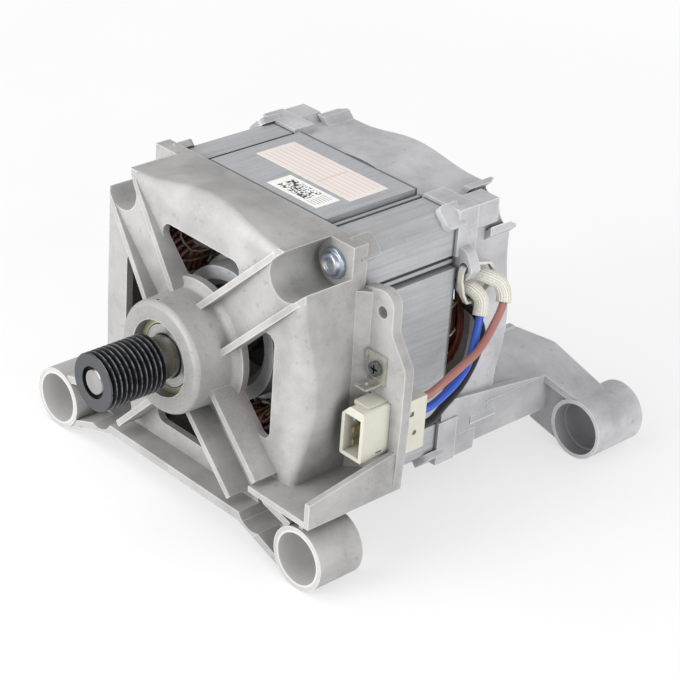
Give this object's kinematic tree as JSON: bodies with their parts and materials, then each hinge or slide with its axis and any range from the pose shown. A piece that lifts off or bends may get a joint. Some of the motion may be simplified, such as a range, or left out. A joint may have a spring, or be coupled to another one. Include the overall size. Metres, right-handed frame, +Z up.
{
  "type": "washing machine induction motor",
  "caption": "Four-pole induction motor in two die-cast end shields, with a ribbed belt pulley, foot tubes and a plug connector.",
  "frame": {"origin": "on the shaft axis, in the middle plane of the belt pulley", "axes": "+Y from the pulley towards the rear feet, along the shaft; +Z up, away from the feet; +X across, towards the plug connector"},
  "size_m": [0.1734, 0.2216, 0.1288],
  "materials": {
    "front_casting": "as cast, matt",
    "rear_casting": "as cast, matt",
    "stator_steel": "laminated, matt",
    "winding": "enamelled copper",
    "insulation": "film",
    "bearing_steel": "ground",
    "bearing_seal": "satin",
    "cage_steel": "satin",
    "spring_steel": "satin",
    "zinc_bolt": "zinc plated",
    "connector_plastic": "satin",
    "terminal_brass": "tinned",
    "tab_tin": "tinned",
    "wire_brown": "satin",
    "wire_blue": "satin",
    "wire_black": "satin",
    "sleeve_fibre": "braided",
    "tie_nylon": "satin",
    "cap_plastic": "matt",
    "label_white": "printed paper, left bare",
    "shaft_steel": "ground",
    "rotor_aluminium": "as cast",
    "pulley_steel": "dark, turned",
    "magnet_ferrite": "matt"
  },
  "bodies": {
    "motor_frame": {"front_shield": "front_casting", "rear_shield": "rear_casting", "stator_core": "stator_steel", "slot_liners": "insulation", "main_winding": "winding", "front_winding_turns": "winding", "rear_winding_turns": "winding", "front_bearing_outer_ring": "bearing_steel", "front_bearing_shields": "bearing_seal", "rear_bearing_outer_ring": "bearing_steel", "rear_bearing_shields": "bearing_seal", "wave_washer": "spring_steel", "through_bolts": "zinc_bolt", "connector_housing": "connector_plastic", "connector_terminals": "terminal_brass", "earth_tab": "tab_tin", "earth_screw": "spring_steel", "brown_wire": "wire_brown", "blue_wire": "wire_blue", "black_wire": "wire_black", "wire_sleeves": "sleeve_fibre", "cable_tie": "tie_nylon", "tacho_coil": "winding", "tacho_cap": "cap_plastic", "thermal_protector": "cap_plastic", "rating_label": "label_white", "code_label": "label_white"},
    "rotor": {"shaft": "shaft_steel", "rotor_core": "stator_steel", "rotor_cage": "rotor_aluminium", "pulley": "pulley_steel", "front_bearing_inner_ring": "bearing_steel", "rear_bearing_inner_ring": "bearing_steel", "tacho_magnet": "magnet_ferrite"},
    "front_cage": {"front_bearing_balls": "bearing_steel", "front_ball_cage": "cage_steel"},
    "rear_cage": {"rear_bearing_balls": "bearing_steel", "rear_ball_cage": "cage_steel"}
  },
  "joints": [
    {"name": "rotor_spin", "type": "hinge", "parent": "motor_frame", "child": "rotor", "pos_m": [0, 0.0919, 0], "axis": [0, -1, 0], "continuous": true},
    {"name": "front_cage_spin", "type": "hinge", "parent": "motor_frame", "child": "front_cage", "pos_m": [0, 0.02765, 0], "axis": [0, -1, 0], "continuous": true},
    {"name": "rear_cage_spin", "type": "hinge", "parent": "motor_frame", "child": "rear_cage", "pos_m": [0, 0.13865, 0], "axis": [0, -1, 0], "continuous": true}
  ],
  "couplings": [
    {"joint": "front_cage_spin", "follows": "rotor_spin", "ratio": 0.383},
    {"joint": "rear_cage_spin", "follows": "rotor_spin", "ratio": 0.384}
  ]
}
